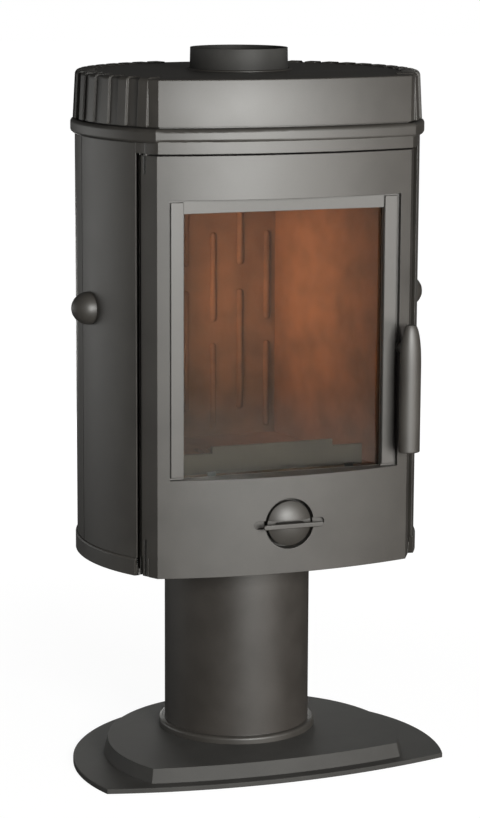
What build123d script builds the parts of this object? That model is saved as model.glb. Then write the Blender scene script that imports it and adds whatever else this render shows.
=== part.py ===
"""Cast iron wood stove on a round pedestal.

Millimetres, +Z up. The origin is on the floor, on the shared axis of the pedestal tube and the
flue collar. The door faces -Y.
"""
import os
from math import cos, radians, sin, sqrt

from build123d import *

os.makedirs("parts", exist_ok=True)

# Overall levels, from the floor up
total_height = 1000.0
base_plate_thickness = 6.7
plinth_height = 19.8
body_bottom = 300.0
door_top = 869.5
rail_bottom = 875.5
belt_bottom = 886.0
belt_top = 905.5
crown_bottom = 907.5
crown_top = 969.3

# Plan of the body: a round back and sides, cut by a bowed front
body_radius = 238.5
body_centre_y = -36.0
front_corner = 181.0
front_bow = 24.0

# Plan of the pedestal foot
base_radius = 263.0
base_centre_y = -94.0
base_corner_y = -178.0
base_bow = 34.0
plinth_radius = 212.5
plinth_centre_y = -70.0
plinth_corner_y = -175.5
plinth_bow = 19.0
plinth_draft = 5.3
plinth_wall = 6.0

# Pedestal tube and its fixings
tube_radius = 103.8
tube_wall = 3.0
flange_bore = 70.0
flange_thickness = 8.0
tube_bolt_circle = 85.0
tube_bolt_count = 4
ring_width = 8.7
ring_height = 9.9
ring_gap = 0.1
bolt_radius = 4.0
bolt_head_radius = 7.0
bolt_head_height = 5.0

# Body castings
panel_wall = 5.0
casing_wall = 3.0
panel_joint_y = -35.6
panel_front_y = -163.4
panel_gap = 0.8
seat_gap = 0.3
floor_thickness = 8.0
ledge_height = 24.0
ledge_proud = 2.5
belt_proud = 6.0
belt_round = 5.5
belt_wall = 14.0
top_plate_thickness = 8.0
knob_radius = 22.0
knob_rise = 20.0
knob_rim = 4.0
knob_centre_y = -61.0
knob_height = 654.0
knob_angle = 6.0
knob_sink = 2.0
knob_stud_radius = 4.0
strip_wall = 4.0
strip_reach = 20.0

# Ribbed crown
crown_wall = 5.0
crown_draft = 3.3
crown_spread = -1.1
crown_round = 6.0
crown_front_round = 4.0
crown_corner_round = 6.0
rib_height = 3.5
rib_width = 16.5
rib_pitch = 8.0
rib_first = 41.7
ribs_per_side = 15
rib_crest = 2.2
rib_reach = 26.0
vent_length = 16.0
vent_width = 10.0

# Flue collar
collar_radius = 69.0
collar_draft = 1.2
collar_bore = 63.0
collar_flange = 92.0
collar_flange_thickness = 7.0
collar_bolt_circle = 81.0
collar_bolt_count = 4
collar_gap = 0.8
collar_bead_width = 4.0
collar_bead_rise = 2.5

# Front frame
frame_face_y = -160.0
frame_thickness = 8.0
frame_half_width = 195.5
firebox_half_width = 150.0
firebox_bottom = 420.0
firebox_top = 836.0
rail_depth = 24.0

# Door
door_wall = 6.0
door_flank_wall = 5.0
flank_end_x = 195.4
flank_end_y = -166.0
glass_half_width = 143.0
glass_bottom = 440.0
glass_top = 797.0
opening_half_width = 165.0
opening_bottom = 434.5
opening_top = 811.0
rebate_front_y = -188.0
rebate_wall = 5.0
reveal_wall = 5.0
glass_lap = 6.0
glass_thickness = 4.0
gasket_thickness = 1.5
clip_width = 12.0
clip_length = 24.0
clip_thickness = 2.0
rope_radius = 4.0
rope_inset = 13.5
rope_corner = 12.0
clip_x = 100.0
screw_radius = 2.0

# Hinge of the door
hinge_x = -190.0
hinge_y = -171.0
hinge_pin_radius = 3.0
hinge_fit = 0.06
knuckle_radius = 5.6
knuckle_length = 28.0
lug_length = 26.0
knuckle_clearance = 1.2

# Door handle
handle_x = 171.0
handle_z = 600.0
handle_centre_y = -222.0
grip_half_width = 15.2
grip_half_depth = 11.5
grip_bottom = 458.0
grip_top = 638.0
grip_shoulder = 570.0
grip_fullness = 2.6
grip_steps = 17
grip_round = 2.0
spindle_radius = 4.5
spindle_fit = 0.06
spindle_boss = 10.0
neck_radius = 9.0
cam_reach = 13.0
cam_thickness = 6.0
keeper_depth = 13.0
keeper_width = 8.0
keeper_height = 12.0
cam_hub = 7.0
cam_offset = 7.0
cam_gap = 1.5
spindle_tail = 3.5
spindle_nut = 7.0
nut_thickness = 3.5
neck_gap = 5.4

# Air control in the door
air_z = 368.8
air_hole_radius = 35.0
air_disc_radius = 31.0
air_dome = 9.0
air_bar_length = 86.0
air_bar_height = 6.6
air_bar_depth = 5.0
air_bar_stand = 14.0
air_slot_length = 101.0
air_slot_height = 11.0
air_slot_depth = 3.0
air_spindle_radius = 4.0
air_fit = 0.06
air_cup_depth = 22.0
air_cup_wall = 3.0
air_plate_thickness = 2.5
air_vent_radius = 6.0
air_vent_circle = 19.0
air_vent_count = 4
air_disc_sink = 2.0
air_rim = 6.0

# Firebox
firebox_back_y = 110.0
firebox_back_half = 96.0
lining_thickness = 9.0
hearth_z = 420.0
hearth_thickness = 10.0
bar_width = 7.0
bar_rise = 5.0
bar_pitch = 38.0
bar_count = 5
bar_gap = 30.0
bar_low = 452.0
bar_high = 730.0
bar_long = 112.0
bar_stagger = 24.0
grate_width = 150.0
grate_depth = 110.0
grate_centre_y = -15.0
grate_slots = 7
grate_slot_width = 9.0
grate_thickness = 9.0
grate_gap = 1.0
pan_height = 48.0
pan_wall = 1.5
pan_gap = 4.0
pan_margin = 12.0
runner_height = 8.0
runner_width = 8.0
ash_wall = 4.0
retainer_y = -145.0
retainer_half = 132.0
retainer_thickness = 6.0
retainer_low = 458.0
retainer_high = 467.0
retainer_middle = 88.0
baffle_thickness = 8.0
baffle_z = 800.0
baffle_depth = 190.0
rest_size = 10.0

# Worked out from the driving dimensions
plinth_top = base_plate_thickness + plinth_height
ledge_top = body_bottom + ledge_height
floor_top = body_bottom + floor_thickness
corner_y = body_centre_y - sqrt(body_radius**2 - front_corner**2)
front_radius = (front_corner**2 + front_bow**2) / (2 * front_bow)
front_y = corner_y - front_bow
front_centre_y = front_y + front_radius
top_plate_bottom = belt_top - top_plate_thickness
panel_bottom = ledge_top + seat_gap
panel_top = belt_bottom - seat_gap
panel_height = panel_top - panel_bottom
glass_front_y = rebate_front_y + rebate_wall + gasket_thickness
glass_back_y = glass_front_y + glass_thickness
frame_back_y = frame_face_y + frame_thickness


def upright(radius, low, high, x=0.0, y=0.0):
    """A round bar that stands from one level to another."""
    return Pos(x, y, (low + high) / 2) * Cylinder(radius, high - low)


def across(radius, front, back, x, z):
    """A round bar that runs from the front to the back."""
    return Pos(x, (front + back) / 2, z) * Rot(90, 0, 0) * Cylinder(radius, back - front)


def block(x0, x1, y0, y1, z0, z1):
    """A block between two corners."""
    centre = Pos((x0 + x1) / 2, (y0 + y1) / 2, (z0 + z1) / 2)
    return centre * Box(x1 - x0, y1 - y0, z1 - z0)


def bowed_disc(radius, centre_y, corner_y_, bow, low, high, draft=0.0):
    """A round slab with a bowed front, drawn in by the draft at its top."""
    half = sqrt(radius**2 - (corner_y_ - centre_y) ** 2)
    bow_radius = (half**2 + bow**2) / (2 * bow)
    middle = (low + high) / 2
    height = high - low
    bow_centre = corner_y_ - bow + bow_radius
    if draft == 0:
        side = Pos(0, centre_y, middle) * Cylinder(radius, height)
        front = Pos(0, bow_centre, middle) * Cylinder(bow_radius, height)
        return side & front
    side = Pos(0, centre_y, middle) * Cone(radius, radius - draft, height)
    front = Pos(0, bow_centre, middle) * Cone(bow_radius, bow_radius - draft, height)
    return side & front


def body_slab(offset, low, high):
    """The body's plan, grown by an offset, between two levels."""
    side = upright(body_radius + offset, low, high, 0, body_centre_y)
    front = upright(front_radius + offset, low, high, 0, front_centre_y)
    return side & front


def ring_wall(outer, wall, low, high):
    """The wall of a round casing about the body's axis."""
    return upright(outer, low, high, 0, body_centre_y) - upright(outer - wall, low, high, 0, body_centre_y)


def hexagon_bolt(head_z, shank_end, radius, head_radius, head_height, up=1):
    """An upright hexagon bolt: its head sits on head_z, its shank runs to shank_end."""
    head = extrude(RegularPolygon(head_radius, 6), head_height)
    if up < 0:
        head = Pos(0, 0, -head_height) * head
    low = min(head_z, shank_end)
    high = max(head_z, shank_end)
    return Pos(0, 0, head_z) * head + upright(radius, low, high)


def round_about(piece, circle, count, start=45.0):
    """Copies of one piece, evenly spaced on a circle about the tube's axis."""
    copies = []
    for index in range(count):
        angle = start + index * 360.0 / count
        place = Pos(circle * cos(radians(angle)), circle * sin(radians(angle)), 0)
        copies.append(place * piece)
    return copies


def save(part, name, colour=(0.25, 0.26, 0.26)):
    """Writes one named sub-part to its own STEP file."""
    part.label = name
    part.color = Color(*colour)
    export_step(part, f"parts/{name}.step")


def many(solids):
    """Several separate solids that share one node."""
    return Compound(children=list(solids))


def side_region(front, back, low, high):
    """The zone left of the middle between two depths."""
    return block(-2 * body_radius, 0, front, back, low, high)


# Base plate: a flat casting with a bowed front edge and four tapped holes.
base_plate = bowed_disc(
    base_radius, base_centre_y, base_corner_y, base_bow, 0, base_plate_thickness
)
base_plate = chamfer(base_plate.edges().group_by(Axis.Z)[-1], 0.8)
foot_hole = upright(bolt_radius, base_plate_thickness / 4, base_plate_thickness)
for hole in round_about(foot_hole, tube_bolt_circle, tube_bolt_count):
    base_plate -= hole
save(base_plate, "base_plate")

# Plinth: a raised casting, hollow below, with a solid seat under the tube.
plinth = bowed_disc(
    plinth_radius, plinth_centre_y, plinth_corner_y, plinth_bow,
    base_plate_thickness, plinth_top, plinth_draft,
)
plinth_hollow = bowed_disc(
    plinth_radius - plinth_draft - plinth_wall, plinth_centre_y,
    plinth_corner_y + plinth_draft + plinth_wall, plinth_bow,
    base_plate_thickness, plinth_top - plinth_wall,
)
plinth_seat = upright(tube_radius + ring_width, base_plate_thickness, plinth_top - plinth_wall)
plinth -= plinth_hollow - plinth_seat
for hole in round_about(upright(bolt_radius, 0, plinth_top), tube_bolt_circle, tube_bolt_count):
    plinth -= hole
save(plinth, "base_plinth")

# Foot ring: a turned ring that hides the joint between the tube and the plinth.
foot_ring = upright(tube_radius + ring_width, plinth_top, plinth_top + ring_height)
foot_ring = fillet(foot_ring.edges().group_by(Axis.Z)[-1], ring_width * 0.45)
foot_ring -= upright(tube_radius + ring_gap, plinth_top, plinth_top + ring_height)
save(foot_ring, "foot_ring")

# Pedestal tube: rolled steel with a drilled flange welded in at each end.
tube = upright(tube_radius, plinth_top, body_bottom)
tube -= upright(
    tube_radius - tube_wall, plinth_top + flange_thickness, body_bottom - flange_thickness
)
tube -= upright(flange_bore, plinth_top, body_bottom)
for hole in round_about(upright(bolt_radius, 0, body_bottom), tube_bolt_circle, tube_bolt_count):
    tube -= hole
save(tube, "pedestal_tube")

# Bolts of the pedestal: four at the foot, four at the head.
foot_flange_top = plinth_top + flange_thickness
foot_bolt = hexagon_bolt(
    foot_flange_top, base_plate_thickness / 4, bolt_radius, bolt_head_radius, bolt_head_height
)
save(many(round_about(foot_bolt, tube_bolt_circle, tube_bolt_count)), "foot_bolts", (0.5, 0.5, 0.5))
head_bolt = hexagon_bolt(
    floor_top, body_bottom - flange_thickness, bolt_radius, bolt_head_radius, bolt_head_height
)
save(many(round_about(head_bolt, tube_bolt_circle, tube_bolt_count)), "head_bolts", (0.5, 0.5, 0.5))

# Floor casting: the body's bottom, with a ledge that the side panels stand on.
ledge_radius = body_radius + ledge_proud
floor = upright(ledge_radius, body_bottom, ledge_top, 0, body_centre_y)
floor = fillet(floor.edges().group_by(Axis.Z)[-1], ledge_proud)
ledge_inner = body_radius - panel_wall + seat_gap
floor -= upright(ledge_inner, floor_top, ledge_top, 0, body_centre_y)
floor -= block(
    -2 * body_radius, 2 * body_radius, -2 * body_radius, panel_front_y, body_bottom, ledge_top
)
floor_front = block(
    -ledge_radius, ledge_radius, panel_front_y, frame_face_y, body_bottom, ledge_top
)
floor -= floor_front & upright(ledge_inner, body_bottom, ledge_top, 0, body_centre_y)
for hole in round_about(
    upright(bolt_radius, body_bottom, floor_top), tube_bolt_circle, tube_bolt_count
):
    floor -= hole
save(floor, "body_floor")

# Rear casing: one rolled sheet from side to side round the back.
casing_ring = ring_wall(body_radius, casing_wall, panel_bottom, panel_top)
rear_casing = casing_ring & block(
    -2 * body_radius, 2 * body_radius, panel_joint_y, 2 * body_radius, panel_bottom, panel_top
)
save(rear_casing, "rear_casing")

# Joint strips: castings behind the joint that carry the panel, the casing and the knob's stud.
strip_ring = ring_wall(body_radius - panel_wall, strip_wall, floor_top, panel_top)
left_strip = strip_ring & side_region(
    knob_centre_y - strip_reach, panel_joint_y + strip_reach, floor_top, panel_top
)
stud_hole = Pos(0, body_centre_y, knob_height) * Rot(0, 0, knob_angle) * Rot(0, -90, 0) * Pos(
    0, 0, body_radius
) * Cylinder(knob_stud_radius, 6 * panel_wall)
left_strip -= stud_hole
save(left_strip, "joint_strip_left")
save(mirror(left_strip, Plane.YZ), "joint_strip_right")

# Side panels: curved castings between the door slot and the rear casing.
panel_ring = ring_wall(body_radius, panel_wall, panel_bottom, panel_top)
left_panel = panel_ring & side_region(
    panel_front_y, panel_joint_y - panel_gap, panel_bottom, panel_top
)
left_panel -= stud_hole
save(left_panel, "side_panel_left")
save(mirror(left_panel, Plane.YZ), "side_panel_right")

# Panel knobs: domed nuts in the middle of each side, each with its stud.
dome_rise = knob_rise - knob_rim
dome_radius = (knob_radius**2 + dome_rise**2) / (2 * dome_rise)
knob = Pos(0, 0, knob_rise - dome_radius) * Sphere(dome_radius)
knob &= upright(knob_radius, -knob_sink, knob_rise)
knob_place = Pos(0, body_centre_y, knob_height) * Rot(0, 0, knob_angle) * Rot(0, -90, 0)
left_knob = knob_place * Pos(0, 0, body_radius) * knob
left_knob -= upright(body_radius, body_bottom, belt_top, 0, body_centre_y)
stud_length = panel_wall + strip_wall
stud = Pos(0, 0, body_radius - stud_length / 2) * Cylinder(knob_stud_radius, stud_length)
left_knob += knob_place * stud
save(left_knob, "panel_knob_left")
save(mirror(left_knob, Plane.YZ), "panel_knob_right")

# Top plate: a casting whose rim is the belt moulding round the body.
top_plate = body_slab(belt_proud, belt_bottom, belt_top)
top_plate = fillet(
    top_plate.edges().group_by(Axis.Z)[-1] + top_plate.edges().group_by(Axis.Z)[0], belt_round
)
top_plate -= body_slab(-belt_wall, belt_bottom, top_plate_bottom)
top_plate -= upright(collar_bore, top_plate_bottom, belt_top)
collar_hole = upright(bolt_radius, top_plate_bottom, belt_top)
for hole in round_about(collar_hole, collar_bolt_circle, collar_bolt_count):
    top_plate -= hole
save(top_plate, "top_plate")

# Flue collar: a drafted cast spigot with a bolted foot flange.
collar_height = total_height - belt_top
collar = Pos(0, 0, belt_top + collar_height / 2) * Cone(
    collar_radius + collar_draft, collar_radius - collar_draft, collar_height
)
collar += upright(collar_flange, belt_top, belt_top + collar_flange_thickness)
collar -= upright(collar_bore, belt_top, total_height)
for hole in round_about(
    upright(bolt_radius, belt_top, belt_top + collar_flange_thickness),
    collar_bolt_circle, collar_bolt_count,
):
    collar -= hole
save(collar, "flue_collar")
collar_bolt = hexagon_bolt(
    belt_top + collar_flange_thickness, top_plate_bottom, bolt_radius, bolt_head_radius,
    bolt_head_height,
)
save(many(round_about(collar_bolt, collar_bolt_circle, collar_bolt_count)), "collar_bolts")

# Ribbed crown: a drafted hood with upright ribs that wrap over its rounded top edge.
crown_height = crown_top - crown_bottom
crown_middle = (crown_top + crown_bottom) / 2
crown_radius = body_radius + crown_spread


def hood_slab(inset, low, high, rise=0.0):
    """The drafted hood's plan, drawn in by an inset, between two levels."""
    slope = crown_draft / crown_height
    r0 = crown_radius - inset - slope * (low - crown_bottom)
    r1 = crown_radius - inset - slope * (high - crown_bottom)
    side = Pos(0, body_centre_y, (low + high) / 2) * Cone(r0 + rise, r1 + rise, high - low)
    return side & upright(front_radius - inset, low, high, 0, front_centre_y)


crown = hood_slab(0, crown_bottom, crown_top)
crown_corners = [e for e in crown.edges() if e.bounding_box().size.Z > crown_height / 2]
crown = fillet(crown_corners, crown_corner_round)
crown = fillet(crown.edges().group_by(Axis.Z)[-1], crown_front_round)
crown -= hood_slab(crown_wall, crown_bottom, crown_top - crown_wall)
crown_foot = hood_slab(crown_wall, belt_top, crown_bottom + crown_wall)
crown_foot -= hood_slab(2 * crown_wall, belt_top, crown_bottom + crown_wall)
crown += crown_foot
rib_radius = crown_radius + rib_height
rib_skin = Pos(0, body_centre_y, (crown_bottom + crown_top + rib_crest) / 2) * Cone(
    rib_radius, rib_radius - crown_draft, crown_height + rib_crest
)
rib_skin = fillet(rib_skin.edges().group_by(Axis.Z)[-1], crown_round)
rib_skin -= Pos(0, body_centre_y, crown_middle - crown_wall / 4) * Cone(
    crown_radius - crown_wall / 2, crown_radius - crown_draft - crown_wall / 2,
    crown_height - crown_wall / 2,
)


def reach_of(angle):
    """Distance from the flue's axis to the hood's wall in one direction."""
    along = body_centre_y * sin(radians(angle))
    return along + sqrt(along**2 - body_centre_y**2 + crown_radius**2)


for side_sign in (-1, 1):
    for index in range(ribs_per_side):
        from_side = -rib_first + index * rib_pitch
        heading = from_side if side_sign > 0 else 180 - from_side
        outer = reach_of(heading)
        bar = block(
            outer - rib_reach, outer + 3 * rib_height, -rib_width / 2, rib_width / 2,
            crown_bottom, crown_top + 2 * rib_crest,
        )
        crown += rib_skin & (Rot(0, 0, heading) * bar)
        if index < ribs_per_side - 1:
            gap_heading = heading + side_sign * rib_pitch / 2
            gap_outer = reach_of(gap_heading) - crown_draft - crown_front_round / 2
            vent = block(
                gap_outer - vent_length, gap_outer, -vent_width / 2, vent_width / 2,
                crown_top - 2 * crown_wall, crown_top + rib_crest,
            )
            crown -= Rot(0, 0, gap_heading) * vent
collar_bead = upright(collar_radius + collar_bead_width, crown_top, crown_top + collar_bead_rise)
crown += fillet(collar_bead.edges().group_by(Axis.Z)[-1], collar_bead_rise * 0.8)
crown -= upright(collar_radius + collar_gap, crown_bottom, total_height)
save(crown, "crown")

# Front frame: a flat casting behind the door, with a lintel above it and a lug for the lower pin.
frame = block(
    -frame_half_width, frame_half_width, frame_face_y, frame_back_y, floor_top, panel_top
)
frame += body_slab(-belt_wall - seat_gap, panel_top, top_plate_bottom) & block(
    -body_radius, body_radius, frame_face_y, frame_back_y, panel_top, top_plate_bottom
)
frame -= block(
    -firebox_half_width, firebox_half_width, frame_face_y, frame_back_y, firebox_bottom, firebox_top
)
pan_half = grate_width / 2 + pan_margin
pan_bottom = floor_top + runner_height
pan_top = pan_bottom + pan_height
frame -= block(
    -pan_half - pan_gap, pan_half + pan_gap, frame_face_y, frame_back_y,
    pan_bottom - pan_gap / 2, pan_top + pan_gap / 2,
)
lintel_front = block(
    -body_radius, body_radius, 2 * front_y, panel_front_y - seat_gap, rail_bottom, panel_top
)
lintel_back = block(
    -body_radius, body_radius, panel_front_y - seat_gap, frame_face_y, rail_bottom, panel_top
)
frame += body_slab(0, rail_bottom, panel_top) & lintel_front
frame += body_slab(-panel_wall - seat_gap, rail_bottom, panel_top) & lintel_back
lug_bottom = body_bottom + seat_gap
lug_top = lug_bottom + lug_length
frame += upright(knuckle_radius, lug_bottom, lug_top, hinge_x, hinge_y)
frame += block(
    hinge_x - knuckle_radius / 2, hinge_x + knuckle_radius / 2, hinge_y, frame_face_y,
    lug_bottom, lug_top,
)
frame += block(
    hinge_x - knuckle_radius / 2, hinge_x + knuckle_radius / 2, frame_face_y, frame_back_y,
    floor_top, lug_top,
)
lower_pin_bottom = lug_bottom + 2 * seat_gap
lower_pin_top = lug_top + seat_gap + knuckle_length * 0.85
upper_pin_bottom = door_top - knuckle_length * 0.85
upper_pin_top = panel_top - 2 * seat_gap
frame -= upright(hinge_pin_radius, lower_pin_bottom, lug_top, hinge_x, hinge_y)
frame -= upright(hinge_pin_radius, rail_bottom, upper_pin_top, hinge_x, hinge_y)
save(frame, "front_frame")
save(
    upright(hinge_pin_radius, lower_pin_bottom, lower_pin_top, hinge_x, hinge_y),
    "hinge_pin_lower", (0.6, 0.6, 0.6),
)
save(
    upright(hinge_pin_radius, upper_pin_bottom, upper_pin_top, hinge_x, hinge_y),
    "hinge_pin_upper", (0.6, 0.6, 0.6),
)

# Latch keeper: a block on the frame that the cam's tip rests on.
cam_tip_radius = cam_reach - cam_offset
keeper_top = handle_z - cam_tip_radius - seat_gap
keeper_near = handle_x + cam_hub - seat_gap
keeper = block(
    keeper_near, keeper_near + keeper_width, frame_face_y - keeper_depth, frame_face_y,
    keeper_top - keeper_height, keeper_top,
)
keeper = chamfer(keeper.faces().sort_by(Axis.Y)[0].edges(), keeper_height / 5)
save(keeper, "latch_keeper", (0.5, 0.5, 0.5))

# Door casting: a bowed tray with flanks, a rebate for the flat glass and a rim for the rope.
slope_x = (flank_end_x - front_corner) / (flank_end_y - corner_y)
tray_back = frame_face_y + frame_thickness
tray_back_x = flank_end_x + slope_x * (tray_back - flank_end_y)
door_face = make_face(
    Line((front_corner, corner_y), (tray_back_x, tray_back))
    + Line((tray_back_x, tray_back), (-tray_back_x, tray_back))
    + Line((-tray_back_x, tray_back), (-front_corner, corner_y))
    + ThreePointArc((-front_corner, corner_y), (0, front_y), (front_corner, corner_y))
)
door_outer = Pos(0, 0, body_bottom) * extrude(door_face, door_top - body_bottom)
door_inner_face = offset(door_face, -door_wall)
door_inner = Pos(0, 0, body_bottom + door_wall) * extrude(
    door_inner_face, door_top - body_bottom - 2 * door_wall
)
door = door_outer - door_inner
reveal = block(
    -opening_half_width - reveal_wall, opening_half_width + reveal_wall, 2 * front_y,
    rebate_front_y, opening_bottom - reveal_wall, opening_top + reveal_wall,
)
door += reveal & door_outer
door -= block(
    -opening_half_width, opening_half_width, 2 * front_y, rebate_front_y,
    opening_bottom, opening_top,
)
rim_inner_x = firebox_half_width
rim_outer_x = firebox_half_width + rope_inset
rim_inner_bottom = firebox_bottom
rim_inner_top = firebox_top
rim_outer_bottom = firebox_bottom - rope_inset
rim_outer_top = firebox_top + rope_inset
rebate_back_y = rebate_front_y + rebate_wall
door += block(
    -opening_half_width - reveal_wall, opening_half_width + reveal_wall, rebate_front_y,
    rebate_back_y, rim_outer_bottom, rim_outer_top,
)
rim = block(
    -rim_outer_x, rim_outer_x, rebate_front_y, flank_end_y, rim_outer_bottom, rim_outer_top
)
rim -= block(
    -rim_inner_x, rim_inner_x, rebate_back_y, flank_end_y, rim_inner_bottom, rim_inner_top
)
door += rim
door -= block(
    -glass_half_width, glass_half_width, 2 * front_y, flank_end_y, glass_bottom, glass_top
)
door &= block(
    -2 * body_radius, 2 * body_radius, 2 * front_y, flank_end_y, body_bottom, door_top
)


def rope_ring(grow, front, back):
    """A ring with round corners along the rope's path, grown to both sides."""
    width = rim_inner_x + rim_outer_x
    height = (rim_inner_top + rim_outer_top) - (rim_inner_bottom + rim_outer_bottom)
    middle_z = (rim_inner_top + rim_outer_top + rim_inner_bottom + rim_outer_bottom) / 4
    outside = RectangleRounded(width + 2 * grow, height / 2 + 2 * grow, rope_corner + grow)
    inside = RectangleRounded(width - 2 * grow, height / 2 - 2 * grow, rope_corner - grow)
    ring = extrude(outside - inside, back - front)
    return Pos(0, back, middle_z) * Rot(90, 0, 0) * ring


rope_back_y = frame_face_y - seat_gap
rope_front_y = rope_back_y - 2 * rope_radius
door -= rope_ring(rope_radius + seat_gap, rope_front_y, flank_end_y)
knuckle_low = lug_top + seat_gap
knuckle_cut = knuckle_radius + knuckle_clearance
door -= upright(knuckle_cut, body_bottom, knuckle_low, hinge_x, hinge_y)
door -= block(
    -body_radius, hinge_x + knuckle_cut, hinge_y - knuckle_radius, flank_end_y, body_bottom,
    knuckle_low,
)
door += upright(knuckle_radius, knuckle_low, knuckle_low + knuckle_length, hinge_x, hinge_y)
door += upright(knuckle_radius, door_top - knuckle_length, door_top, hinge_x, hinge_y)
pin_bore = hinge_pin_radius + hinge_fit
door -= upright(pin_bore, body_bottom, lower_pin_top + seat_gap, hinge_x, hinge_y)
door -= upright(pin_bore, upper_pin_bottom - seat_gap, door_top, hinge_x, hinge_y)
boss_back_y = flank_end_y - cam_thickness - cam_gap
spindle_boss_solid = across(spindle_boss, front_y, boss_back_y, handle_x, handle_z)
door += spindle_boss_solid & door_outer
door -= across(spindle_radius + spindle_fit, 2 * front_y, 0, handle_x, handle_z)
door -= across(air_hole_radius, 2 * front_y, rebate_back_y, 0, air_z)
air_slot = block(
    -(air_slot_length - air_slot_height) / 2, (air_slot_length - air_slot_height) / 2,
    2 * front_y, front_y + air_slot_depth + 1, air_z - air_slot_height / 2,
    air_z + air_slot_height / 2,
)
for end in (-1, 1):
    air_slot += across(
        air_slot_height / 2, 2 * front_y, front_y + air_slot_depth + 1,
        end * (air_slot_length - air_slot_height) / 2, air_z,
    )
door -= air_slot
clip_boss_y = glass_back_y
glass_edge_low = glass_bottom - glass_lap
glass_edge_high = glass_top + glass_lap
clip_sides = (-1, 1)
for end in clip_sides:
    for edge, inward in ((glass_edge_low, -1), (glass_edge_high, 1)):
        near = edge + inward * seat_gap
        far = near + inward * clip_length / 2
        door += block(
            end * clip_x - clip_width / 2, end * clip_x + clip_width / 2, rebate_back_y,
            clip_boss_y, min(near, far), max(near, far),
        )
save(door, "door_casting")

# Glass, its flat gasket, and four clips with their screws that hold it from behind.
glass = block(
    -glass_half_width - glass_lap, glass_half_width + glass_lap, glass_front_y, glass_back_y,
    glass_edge_low, glass_edge_high,
)
save(glass, "door_glass", (0.3, 0.2, 0.15))
gasket = block(
    -glass_half_width - glass_lap, glass_half_width + glass_lap, rebate_back_y, glass_front_y,
    glass_edge_low, glass_edge_high,
)
gasket -= block(
    -glass_half_width, glass_half_width, rebate_back_y, glass_front_y, glass_bottom, glass_top
)
save(gasket, "glass_gasket", (0.6, 0.6, 0.55))
clips = []
screws = []
for end in clip_sides:
    for edge, inward in ((glass_edge_low, 1), (glass_edge_high, -1)):
        start = edge - inward * clip_length / 2
        stop = edge + inward * clip_length / 4
        clips.append(
            block(
                end * clip_x - clip_width / 2, end * clip_x + clip_width / 2, clip_boss_y,
                clip_boss_y + clip_thickness, min(start, stop), max(start, stop),
            )
        )
        screw_z = edge - inward * clip_length / 4
        clip_back = clip_boss_y + clip_thickness
        clips[-1] -= across(screw_radius, clip_boss_y, clip_back, end * clip_x, screw_z)
        head = across(2 * screw_radius, clip_back, clip_back + screw_radius, end * clip_x, screw_z)
        shank = across(screw_radius, clip_boss_y, clip_back, end * clip_x, screw_z)
        screws.append(head + shank)
save(many(clips), "glass_clips", (0.6, 0.6, 0.6))
save(many(screws), "clip_screws", (0.6, 0.6, 0.6))

# Door rope: a closed ring of glass-fibre rope in the rim's groove.
rope_middle_x = (rim_inner_x + rim_outer_x) / 2
rope_low = (rim_inner_bottom + rim_outer_bottom) / 2
rope_high = (rim_inner_top + rim_outer_top) / 2
rope_path = Plane.XZ.offset(-(rope_front_y + rope_back_y) / 2) * RectangleRounded(
    2 * rope_middle_x, rope_high - rope_low, rope_corner
)
rope_path = Pos(0, 0, (rope_low + rope_high) / 2) * rope_path
rope_wire = rope_path.wire()
rope_section = Plane(rope_wire @ 0, z_dir=rope_wire % 0) * Circle(rope_radius)
rope = sweep(rope_section, rope_wire)
save(rope, "door_rope", (0.55, 0.55, 0.5))

# Handle: a cast grip that hangs from its spindle, with the cam inside the door.
grip_dome = grip_top - grip_shoulder
dome_points = [
    (
        grip_half_width * (1 - (step / grip_steps) ** grip_fullness) ** (1 / grip_fullness),
        grip_shoulder + grip_dome * step / grip_steps,
    )
    for step in range(grip_steps)
]
grip_side = (
    Polyline((0, grip_bottom), (grip_half_width, grip_bottom), dome_points[0])
    + Spline(dome_points)
    + Polyline(dome_points[-1], (0, dome_points[-1][1]), (0, grip_bottom))
)
grip = revolve(Plane.XZ * make_face(grip_side), Axis.Z)
grip = fillet(grip.edges().group_by(Axis.Z)[0], grip_round)
grip = Pos(handle_x, handle_centre_y) * scale(grip, (1, grip_half_depth / grip_half_width, 1))
neck_front = handle_centre_y
neck_back = corner_y - neck_gap
grip += across(neck_radius, neck_front, neck_back, handle_x, handle_z)
save(grip, "handle_grip", (0.3, 0.3, 0.3))
spindle = across(spindle_radius, neck_back, flank_end_y + spindle_tail, handle_x, handle_z)
save(spindle, "handle_spindle", (0.6, 0.6, 0.6))
cam_front = boss_back_y + seat_gap
cam_back = cam_front + cam_thickness
cam = across(cam_hub, cam_front, cam_back, handle_x, handle_z)
cam += across(
    cam_tip_radius, cam_front, cam_back, handle_x + cam_offset, handle_z
)
cam -= across(spindle_radius, cam_front, cam_back, handle_x, handle_z)
save(cam, "latch_cam", (0.6, 0.6, 0.6))
nut_blank = extrude(RegularPolygon(spindle_nut, 6), nut_thickness)
nut = Pos(handle_x, cam_back + nut_thickness, handle_z) * Rot(90, 0, 0) * nut_blank
nut -= across(spindle_radius, cam_back, 0, handle_x, handle_z)
save(nut, "spindle_nut", (0.6, 0.6, 0.6))

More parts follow.
